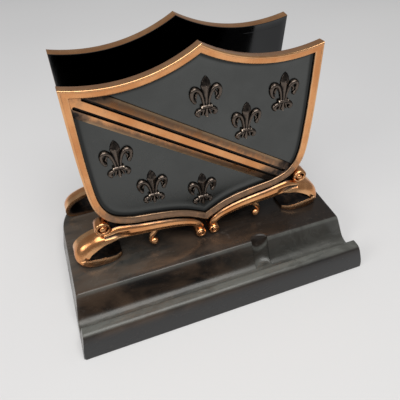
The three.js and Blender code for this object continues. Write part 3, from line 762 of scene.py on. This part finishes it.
def moulding_part():
    """The strand along the shield's foot and the curl that it ends in at the middle."""
    strand = shell(sweep_in_xz(MOULDING_PATH, moulding_section, MOULDING_STATIONS))
    curl = roll_part(CURL_CENTRE, CURL_RADIUS, CURL_FRONT_Y + 0.5, MOULDING_BACK_Y)
    coil = cord_part(
        spiral(CURL_CENTRE, 2.3, 1.2, 0.9, math.pi * 0.9, CURL_FRONT_Y + 0.75, CURL_FRONT_Y + 0.7),
        [0.75, 0.65, 0.5],
    )
    eye = ball_part((CURL_CENTRE[0], CURL_FRONT_Y + 1.1, CURL_CENTRE[1]), 1.0)
    return merged(strand, curl, coil, eye)


def foot_section(t):
    """The ribbon's edge rolls over above the bend and stands upright below it."""
    drop, thick = sampled(FOOT_LIP_DROPS, t), sampled(FOOT_THICKNESSES, t)
    front = sampled(FOOT_FRONT_Y, t)
    depth = FOOT_BACK_Y - front
    flat = float(smoothstep(0.48, 0.8, t))

    def back(rolled, upright):
        return front + (rolled + (upright - rolled) * flat) * depth

    outer = [
        (drop, back(0, 0.02)), (0.45 * drop, back(0.12, -0.01)), (0.12 * drop, back(0.3, 0.0)),
        (0, back(0.5, 0.06)), (0, back(0.75, 0.6)), (0, FOOT_BACK_Y),
    ]
    inner = [
        (thick, FOOT_BACK_Y), (thick, back(0.55, 0.5)),
        ((0.3 * drop + thick * 0.75) * (1 - flat) + 0.7 * drop * flat, back(0.3, 0.2)),
        ((0.72 * drop + thick * 0.55) * (1 - flat) + 0.95 * drop * flat, back(0.12, 0.1)),
        (drop + 0.35, back(0.035, 0.05)),
    ]
    outer_curve, _ = spline(outer, 16)
    inner_curve, _ = spline(inner, 14)
    # The upright lower run is painted browner than the rolled upper run.
    outside = painted(outer_curve, 0.04 + 0.4 * flat, 0.0)
    # Rubbing and painted highlight on the front lip's edge.
    outside[:3, 3] = 0.35
    # Painted highlight: a lighter line along the back edge of the rolled upper run.
    outside[-4:, 3] = 0.45 * (1 - flat)
    inside = painted(inner_curve, 0.93, 0.0)
    inside[-1:, 2] = 0.4
    return np.vstack([outside, inside])


def foot_part():
    """The ribbon that runs outward under the shield, turns down and comes back along the deck."""
    return shell(sweep_in_xz(FOOT_PATH, foot_section, FOOT_STATIONS))


def volute_part():
    """A short dished roll with a coil and a round eye in its end."""
    roll = roll_part(VOLUTE_CENTRE, VOLUTE_RADIUS, VOLUTE_FRONT_Y + 0.4, VOLUTE_BACK_Y, VOLUTE_DISH)
    coil = cord_part(
        spiral(VOLUTE_CENTRE, 3.5, 1.9, 1.15, math.pi * 1.1, VOLUTE_FRONT_Y + 0.7, VOLUTE_FRONT_Y + 1.6),
        [0.7, 0.65, 0.4],
    )
    eye = ball_part((VOLUTE_CENTRE[0] - 0.2, VOLUTE_FRONT_Y + 1.9, VOLUTE_CENTRE[1] - 0.5), 2.0)
    return merged(roll, coil, eye)


def berry_part():
    """A ball held in the end of a short tapering hook."""
    x, y, z = BERRY_CENTRE
    ball = ball_part((x, y - 0.1, z), BERRY_RADIUS - 0.35)
    hook = [
        (x - 1.8, y + 0.5, z + 8.4), (x - 0.7, y + 0.2, z + 6.6), (x + 0.9, y + 0.1, z + 4.6),
        (x + 2.0, y, z + 1.9), (x + 1.7, y, z - 0.8), (x + 0.2, y, z - 1.9), (x - 1.2, y, z - 1.3),
    ]
    curl = cord_part(spline(hook, HOOK_COUNT), [1.7, 1.6, 1.4, 1.05, 0.8, 0.7, 0.45])
    return merged(ball, curl)


# ---- Base: a top surface over (x, y), end walls and an underside ----
def base_profile():
    """Top of the base from front to rear, as (y from the front edge, z)."""
    front = [(0.2, 0.4), (0.45, 1.6), (0.9, 3.6), (1.5, 6.2), (2.1, 8.6), (2.7, 10.6)]
    front += [(3.2, 12.0), (3.6, 13.0), (4.1, 13.8), (4.7, 14.4), (5.4, 14.78), (6.1, 14.9)]
    lip = [(7.2, 14.9), (8.4, 14.9), (9.1, 14.86), (9.5, 14.7), (9.8, 14.4), (9.98, 14.0), (10.7, 11.0)]
    groove = []
    sweep = (math.pi + GROOVE_FRONT_TILT, 2 * math.pi - GROOVE_WALL_TILT)
    for angle in np.linspace(*sweep, 40):
        y = GROOVE_CENTRE_Y + GROOVE_RADIUS * math.cos(angle)
        groove.append((y, GROOVE_CENTRE_Z + GROOVE_RADIUS * math.sin(angle)))
    edge = [(26.1, 16.87), (26.25, 17.2), (26.45, 17.6), (26.7, 17.95), (27.0, 18.2)]
    edge += [(27.4, 18.38), (28, 18.47)]
    deck = [(28.8, DECK_Z), (100.0, DECK_Z)]
    rear = [(101.4, 18.42), (102.1, 18.25), (102.7, 17.9), (103.1, 17.45), (103.4, 16.9)]
    rear += [(104.6, 11.4), (105.6, 6.6), (106.6, 2), (106.92, 0.4)]
    return np.array(front + lip + groove + edge + deck + rear)


def base_rows():
    """Distances from the front edge where the top surface is sampled."""
    y = base_profile()[:, 0]
    wall = np.arange(20.4, 31.6, 0.2)
    deck = np.arange(32, 100, 2.5)
    return np.unique(np.round(np.concatenate([y[y < 20.4], wall, deck, y[y > 99]]), 4))


def base_half_width(y, z):
    """Half the base's length at a place: drafted ends, round rear corners, eased front corners."""
    half = BASE_WIDTH / 2 - END_DRAFT * z
    corner_y = BASE_DEPTH - END_DRAFT * z - REAR_CORNER_RADIUS
    beyond = np.clip(y - corner_y, 0, REAR_CORNER_RADIUS)
    rounded = REAR_CORNER_RADIUS - np.sqrt(REAR_CORNER_RADIUS**2 - beyond**2)
    corner = 1.1 * smoothstep(1.2, 0, y - 0.2) ** 2
    return half - rounded - corner


def base_columns():
    """Places along the base, closest together at the ends and across the flute."""
    ends = [78.8 - d for d in (0, 0.08, 0.2, 0.4, 0.7, 1.1, 1.6, 2.2, 3.0, 4.2, 6)]
    even = np.linspace(-70, 70, 29)
    turn = np.linspace(-math.pi / 2, math.pi / 2, 49)
    notch = NOTCH_X + NOTCH_HALF_WIDTH * np.sin(turn)
    brink = [NOTCH_X + side * (NOTCH_HALF_WIDTH + d) for side in (-1, 1) for d in (0.1, 0.3, 0.6)]
    even = even[np.abs(even - NOTCH_X) > NOTCH_HALF_WIDTH + 1.0]
    return np.sort(np.concatenate([ends, -np.array(ends), even, notch, brink]))


def base_height(x, y):
    """The profile, with its rear wall stepped back inside the flute."""
    profile = base_profile()
    across = np.clip(1 - ((x - NOTCH_X) / NOTCH_HALF_WIDTH) ** 2, 0, 1)
    bite = NOTCH_DEPTH * np.sqrt(across) * (1 - smoothstep(*NOTCH_FADE_Y, y))
    behind = np.maximum(y - GROOVE_CENTRE_Y, 0)
    shifted = np.where(behind > 0, GROOVE_CENTRE_Y + np.maximum(behind - bite, 0), y)
    return np.interp(shifted, profile[:, 0], profile[:, 1])


def base_part():
    """Rows of the top surface from front to rear, with an end wall hung from each end."""
    columns = base_columns()
    full = columns.max()
    rows, walls = [], []
    for y in base_rows():
        z = float(base_height(np.array(0.0), np.array(y)))
        deck = smoothstep(14.5, 18.4, z)
        roll, reach = 0.35 + 0.75 * deck, 0.5 + 1.3 * deck
        roll = 0.0 if y > REAR_WALL_Y else roll
        edge = base_half_width(y, z - roll)
        outward = np.clip((np.abs(columns) - END_ZONE_X) / (full - END_ZONE_X), 0, 1)
        x = columns * (1 + (edge / full - 1) * outward)
        near = np.clip(1 - (edge - np.abs(x)) / reach, 0, 1)
        height = base_height(x, np.full(len(x), y)) - roll * (1 - np.sqrt(1 - near**2))
        rows.append(np.stack([x, np.full(len(x), y + FRONT_Y), height], 1))
        levels = np.linspace(height[0], BASE_BOTTOM_Z, WALL_LEVELS)
        walls.append(np.stack([base_half_width(y, levels), np.full(WALL_LEVELS, y + FRONT_Y), levels], 1))
    top = (np.vstack(rows), grid_faces(len(rows), len(columns)))
    left = (np.vstack(walls) * np.array([-1, 1, 1]), grid_faces(len(rows), WALL_LEVELS))
    corners = [[side * w[-1][0], w[-1][1], BASE_BOTTOM_Z] for w in walls for side in (-1, 1)]
    under = (np.array(corners), grid_faces(len(rows), 2))
    return merged(top, mirrored(left), left, under)


def wear_and_sheen_mask(points):
    """Lighter grey where hands, pens and dust have dulled the base and, as painted sheen, where its faces
    catch the light: lip, groove, the deck's left end, and a painted highlight along the deck's front edge.
    """
    x, y, z = points[:, 0], points[:, 1] - FRONT_Y, points[:, 2]
    lip = smoothstep(13.6, 14.7, z) * smoothstep(11, 9.8, y)
    floor = 0.7 * smoothstep(6.4, 4.4, z) * smoothstep(11.5, 13, y) * smoothstep(24, 22, y)
    wall = 0.45 * smoothstep(-10, 60, x) * smoothstep(19, 21, y) * smoothstep(27.5, 26, y)
    deck = 0.3 * smoothstep(10, -75, x) * smoothstep(27, 30, y)
    # Painted highlight: a lighter line along the rounded edge between the groove and the deck.
    edge = 0.6 * smoothstep(0.9, 0.2, np.abs(y - 26.6))
    return np.clip(lip + floor + wall + deck + edge, 0, 1)


# ---- Materials ----
class Nodes:
    """Small helper that adds and links shader nodes in one material."""

    def __init__(self, name):
        self.material = bpy.data.materials.new(name)
        self.material.use_nodes = True
        self.tree = self.material.node_tree
        self.shader = self.tree.nodes["Principled BSDF"]

    def add(self, kind, **settings):
        node = self.tree.nodes.new(kind)
        for key, value in settings.items():
            if hasattr(node, key):
                setattr(node, key, value)
            else:
                node.inputs[key.replace("_", " ").title()].default_value = value
        return node

    def link(self, source, target):
        self.tree.links.new(source, target)

    def noise(self, scale, detail=3.0, roughness=0.55, distortion=0.0, stretch=None):
        place = self.add("ShaderNodeTexCoord").outputs["Object"]
        if stretch:
            mapping = self.add("ShaderNodeMapping")
            mapping.inputs["Scale"].default_value = stretch
            self.link(place, mapping.inputs["Vector"])
            place = mapping.outputs["Vector"]
        noise = self.add("ShaderNodeTexNoise")
        noise.inputs["Scale"].default_value = scale
        noise.inputs["Detail"].default_value = detail
        noise.inputs["Roughness"].default_value = roughness
        noise.inputs["Distortion"].default_value = distortion
        self.link(place, noise.inputs["Vector"])
        return noise.outputs["Fac"]

    def attribute(self, name):
        return self.add("ShaderNodeAttribute", attribute_name=name).outputs["Fac"]

    def remap(self, value, low, high, to_low=0.0, to_high=1.0):
        node = self.add("ShaderNodeMapRange", interpolation_type="SMOOTHSTEP")
        limits = {"From Min": low, "From Max": high, "To Min": to_low, "To Max": to_high}
        for name, number in limits.items():
            node.inputs[name].default_value = number
        self.link(value, node.inputs["Value"])
        return node.outputs["Result"]

    def math(self, operation, a, b):
        node = self.add("ShaderNodeMath", operation=operation)
        for socket, value in zip(node.inputs, (a, b)):
            if isinstance(value, (int, float)):
                socket.default_value = value
            else:
                self.link(value, socket)
        return node.outputs["Value"]

    def mix(self, factor, a, b):
        node = self.add("ShaderNodeMix", data_type="RGBA")
        factor_in, a_in, b_in = node.inputs[0], node.inputs[6], node.inputs[7]
        for socket, value in ((factor_in, factor), (a_in, a), (b_in, b)):
            if isinstance(value, (int, float)):
                socket.default_value = value
            elif isinstance(value, tuple):
                socket.default_value = (*value, 1.0)
            else:
                self.link(value, socket)
        return node.outputs[2]

    def bump(self, height, strength, distance_mm):
        node = self.add("ShaderNodeBump")
        node.inputs["Strength"].default_value = strength
        node.inputs["Distance"].default_value = distance_mm * MM
        self.link(height, node.inputs["Height"])
        self.link(node.outputs["Normal"], self.shader.inputs["Normal"])

    def finish(self, colour, roughness, metallic):
        self.link(colour, self.shader.inputs["Base Color"])
        self.link(roughness, self.shader.inputs["Roughness"])
        self.shader.inputs["Metallic"].default_value = metallic
        return self.material


def copper_material():
    n = Nodes("copper_plate")
    cloud = n.noise(60, 4, 0.6)
    fine = n.noise(1100, 3, 0.6)
    grime = n.noise(240, 4, 0.65)
    tone = n.mix(n.remap(cloud, 0.35, 0.68), COPPER_DEEP, COPPER_WARM)
    tone = n.mix(n.remap(fine, 0.5, 0.75, 0, 0.3), tone, COPPER_SHADE)
    # Patina and painted shade: this attribute browns, then blackens, the copper.
    patina_and_shade = n.attribute("patina_and_shade")
    ragged = n.math("ADD", patina_and_shade, n.remap(grime, 0.3, 0.7, -0.12, 0.12))
    brown = n.mix(n.remap(ragged, 0.12, 0.62), tone, COPPER_BROWN_PATINA_SHADE)
    dark = n.mix(n.remap(ragged, 0.6, 0.98), brown, COPPER_BLACK_PATINA_SHADE)
    # Rubbing and painted highlight: this attribute lightens the copper on ridges, crests and edges.
    bright = n.math("MULTIPLY", n.attribute("wear_and_highlight"), n.remap(grime, 0.25, 0.5, 0.4, 0.85))
    colour = n.mix(bright, dark, COPPER_RUB_AND_HIGHLIGHT)
    rough = n.remap(n.math("ADD", grime, n.math("MULTIPLY", patina_and_shade, 0.35)), 0.35, 1.0, 0.2, 0.42)
    n.bump(n.math("ADD", n.math("MULTIPLY", fine, 0.35), grime), 0.12, 0.1)
    return n.finish(colour, rough, 1.0)


def dark_metal_material(name, tint, low, high):
    n = Nodes(name)
    cloud = n.noise(40, 4, 0.6)
    fine = n.noise(1400, 2, 0.5)
    colour = n.mix(n.remap(cloud, 0.3, 0.7), tint, tuple(c * 1.25 for c in tint))
    # Painted shade: the first attribute darkens the field next to the rim and towards its left.
    colour = n.mix(n.remap(n.attribute("patina_and_shade"), 0, 1, 0, 0.85), colour, tuple(c * 0.3 for c in tint))
    rough = n.remap(cloud, 0.3, 0.7, low, high)
    n.bump(fine, 0.05, 0.04)
    return n.finish(colour, rough, 1.0)


def bronze_material():
    n = Nodes("oxidised_bronze")
    grime = n.noise(600, 4, 0.65)
    uneven = n.remap(grime, 0.3, 0.7, -0.15, 0.15)
    # Patina and painted shade: the low parts of the relief turn near black.
    hollow = n.remap(n.math("ADD", n.attribute("patina_and_shade"), uneven), 0.1, 0.85)
    # Rubbing and painted highlight: a near-white line along the crests.
    crest = n.remap(n.math("ADD", n.attribute("wear_and_highlight"), uneven), 0.25, 0.95)
    colour = n.mix(hollow, BRONZE_FACE, BRONZE_HOLLOW)
    colour = n.mix(crest, colour, BRONZE_CREST)
    rough = n.remap(grime, 0.3, 0.7, 0.2, 0.34)
    n.bump(grime, 0.1, 0.08)
    return n.finish(colour, rough, 1.0)


def bakelite_material():
    n = Nodes("moulded_phenolic")
    swirl = n.noise(26, 5, 0.62, 1.2, (1, 2.2, 1))
    speck = n.noise(420, 3, 0.7)
    smear = n.noise(55, 4, 0.7, 0.6, (0.6, 1.5, 1))
    browned = n.math("MULTIPLY", n.attribute("brown"), n.remap(swirl, 0.3, 0.62))
    colour = n.mix(browned, PHENOLIC_BLACK, PHENOLIC_BROWN)
    # Painted reflection of the floor on the front face.
    colour = n.mix(n.remap(n.attribute("floor_reflection"), 0, 1), colour, PHENOLIC_FLOOR_REFLECTION)
    dust = n.math("MULTIPLY", n.remap(speck, 0.56, 0.72), n.remap(smear, 0.45, 0.7))
    colour = n.mix(n.math("MULTIPLY", dust, 0.22), colour, PHENOLIC_DUST)
    # Wear and painted sheen: lighter grey on the lip, the groove and the deck's edge.
    wear_and_sheen = n.math("MULTIPLY", n.attribute("wear_and_sheen"), n.remap(smear, 0.3, 0.65, 0.35, 0.9))
    colour = n.mix(wear_and_sheen, colour, PHENOLIC_WEAR_SHEEN)
    rough = n.remap(n.math("ADD", smear, n.math("MULTIPLY", dust, 0.5)), 0.35, 0.95, 0.2, 0.5)
    ripple = n.noise(34, 2, 0.5, 1.6, (1, 2.4, 1))
    n.shader.inputs["Specular IOR Level"].default_value = PHENOLIC_SPECULAR
    n.bump(n.math("ADD", n.math("MULTIPLY", speck, 0.04), ripple), 0.35, 0.35)
    return n.finish(colour, rough, 0.0)


def felt_material():
    n = Nodes("green_felt")
    fibre = n.noise(2600, 5, 0.8)
    cloud = n.noise(120, 3, 0.6)
    colour = n.mix(n.remap(fibre, 0.3, 0.7), FELT_DARK, FELT_LIGHT)
    colour = n.mix(n.remap(cloud, 0.4, 0.8, 0, 0.4), colour, FELT_FADED)
    rough = n.remap(fibre, 0.3, 0.7, 0.9, 1.0)
    n.bump(fibre, 0.6, 0.3)
    n.shader.inputs["Sheen Weight"].default_value = FELT_SHEEN
    return n.finish(colour, rough, 0.0)


def steel_material():
    n = Nodes("zinc_steel")
    cloud = n.noise(300, 4, 0.6)
    scratch = n.noise(900, 3, 0.6, 0, (1, 8, 1))
    colour = n.mix(n.remap(cloud, 0.35, 0.65), STEEL_DARK, STEEL_LIGHT)
    rough = n.remap(scratch, 0.3, 0.7, 0.28, 0.5)
    n.bump(scratch, 0.2, 0.05)
    return n.finish(colour, rough, 1.0)


def floor_material():
    n = Nodes("pale_table")
    cloud = n.noise(3, 2, 0.5)
    colour = n.mix(n.remap(cloud, 0.3, 0.7), TABLE_LOW, TABLE_HIGH)
    rough = n.remap(cloud, 0.3, 0.7, 0.7, 0.8)
    return n.finish(colour, rough, 0.0)


MATERIALS = {
    "copper": copper_material(),
    "field": dark_metal_material("charcoal_field", FIELD_GREY, 0.2, 0.3),
    "black_back": dark_metal_material("black_inner_face", BACK_GREY, 0.07, 0.13),
    "bronze": bronze_material(),
    "bakelite": bakelite_material(),
    "felt": felt_material(),
    "steel": steel_material(),
}


def vertex_array(mesh):
    co = np.empty(len(mesh.vertices) * 3)
    mesh.vertices.foreach_get("co", co)
    return co.reshape(-1, 3) / MM


def assign(mesh, *names):
    for name in names:
        mesh.materials.append(MATERIALS[name])


def darken_back(mesh):
    """Faces at the shield's back, which look into the slot, take the mesh's second material."""
    for face in mesh.polygons:
        centre = face.center / MM
        lean_y = centre.y - (centre.z - SHIELD_PIVOT_Z) * math.tan(SHIELD_LEAN) - SHIELD_FRONT_Y
        if face.normal.y > 0.8 and lean_y > BACK_FACE_DEPTH:
            face.material_index = 1
            face.use_smooth = False


# ---- Building ----
def build_both(node, mesh):
    for face in ("front", "rear"):
        add_piece(f"look_{face}_{node}", mesh, [f"{face}_{node}"], casting_matrix(face))


def build_shields():
    rim = mesh_from("rim", rim_part(), SHARP_RIM)
    assign(rim, "copper", "black_back")
    darken_back(rim)
    build_both("shield_rim", rim)
    plate = mesh_from("plate", plate_part(), SHARP_PLATE)
    assign(plate, "field", "black_back")
    darken_back(plate)
    build_both("shield_plate", plate)
    bend = mesh_from("bend", bend_part(), SHARP_BEND)
    assign(bend, "copper")
    build_both("bend_band", bend)


def build_fleurs():
    points, faces = fleur_part()
    for i, (x, z) in enumerate(FLEUR_PLACES, 1):
        moved = lean(points[:, :3] + np.array([x, 0, float(plane_v(z))]))
        mesh = mesh_from(f"fleur_{i}", (np.hstack([moved, points[:, 3:]]), faces), SHARP_FLEUR)
        assign(mesh, "bronze")
        build_both(f"fleur_{i}", mesh)


def build_scrolls():
    parts = {
        "scroll_moulding": moulding_part(), "scroll_foot": foot_part(),
        "corner_volute": volute_part(), "berry": berry_part(),
    }
    for name, part in parts.items():
        for side, shape in (("right", part), ("left", mirrored(part))):
            mesh = mesh_from(f"{name}_{side}", shape, SHARP_SCROLL)
            assign(mesh, "copper")
            build_both(f"{name}_{side}", mesh)


def build_base():
    mesh = mesh_from("base", base_part(), SHARP_BASE)
    points = vertex_array(mesh)
    paint(mesh, "wear_and_sheen", wear_and_sheen_mask(points))
    # Painted reflection: the front face takes a neutral grey for the floor's reflection, darker just under
    # the lip and lighter towards the bottom.
    reflection_ramp = 0.3 + 0.7 * smoothstep(13.5, 8.5, points[:, 2])
    paint(mesh, "floor_reflection", reflection_ramp * smoothstep(5.2, 4.2, points[:, 1] - FRONT_Y))
    paint(mesh, "brown", 0.2 + 0.8 * smoothstep(45, -35, points[:, 0]))
    assign(mesh, "bakelite")
    return add_piece("look_base_block", mesh, ["base_block"])


def build_felt(base):
    """The felt under the base, with a clear hole round each screw."""
    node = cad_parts["base_felt"]
    mesh = node.data.copy()
    mesh.materials.clear()
    assign(mesh, "felt")
    felt = add_piece("look_base_felt", mesh, ["base_felt"], node.matrix_world)


def finish_screws():
    """The screws keep their CAD shape and only take a material."""
    for name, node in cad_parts.items():
        if name.startswith("screw"):
            node.data.materials.clear()
            assign(node.data, "steel")


# ---- Stage ----
def build_floor():
    mesh = bpy.data.meshes.new("floor")
    corners = [(-1, -1), (1, -1), (1, 1), (-1, 1)]
    mesh.from_pydata([(x * FLOOR_HALF_M, y * FLOOR_HALF_M, 0) for x, y in corners], [], [(0, 1, 2, 3)])
    floor = bpy.data.objects.new("floor", mesh)
    bpy.context.scene.collection.objects.link(floor)
    mesh.materials.append(floor_material())


def area_light(name, place, target, size, power, colour):
    light = bpy.data.lights.new(name, "AREA")
    light.shape = "RECTANGLE"
    light.size, light.size_y = size
    light.energy = power
    light.color = colour
    lamp = bpy.data.objects.new(name, light)
    lamp.location = place
    direction = Vector(target) - Vector(place)
    lamp.rotation_euler = direction.to_track_quat("-Z", "Y").to_euler()
    bpy.context.scene.collection.objects.link(lamp)


def build_lights():
    world = bpy.data.worlds.new("studio")
    bpy.context.scene.world = world
    world.use_nodes = True
    background = world.node_tree.nodes["Background"]
    background.inputs["Color"].default_value = WORLD_COLOUR
    background.inputs["Strength"].default_value = WORLD_STRENGTH
    area_light("top_box", **TOP_BOX)
    area_light("side_box", **SIDE_BOX)


def build_camera():
    az, el, roll = CAMERA_AZIMUTH, CAMERA_ELEVATION, CAMERA_ROLL
    back = Vector((math.sin(az) * math.cos(el), -math.cos(az) * math.cos(el), math.sin(el)))
    right = Vector((math.cos(az), math.sin(az), 0))
    up = back.cross(right)
    c, s = math.cos(roll), math.sin(roll)
    x_axis, y_axis = c * right + s * up, c * up - s * right
    camera = bpy.data.cameras.new("camera")
    camera.lens, camera.sensor_width = CAMERA_LENS, CAMERA_SENSOR
    camera.clip_start = 0.01
    holder = bpy.data.objects.new("camera", camera)
    basis = Matrix((x_axis, y_axis, back)).transposed().to_4x4()
    holder.matrix_world = Matrix.Translation(CAMERA_PLACE_M) @ basis
    bpy.context.scene.collection.objects.link(holder)
    bpy.context.scene.camera = holder


build_camera()
build_lights()
build_floor()
build_felt(build_base())
build_shields()
build_fleurs()
build_scrolls()
finish_screws()
bpy.context.scene.view_settings.view_transform = "Standard"
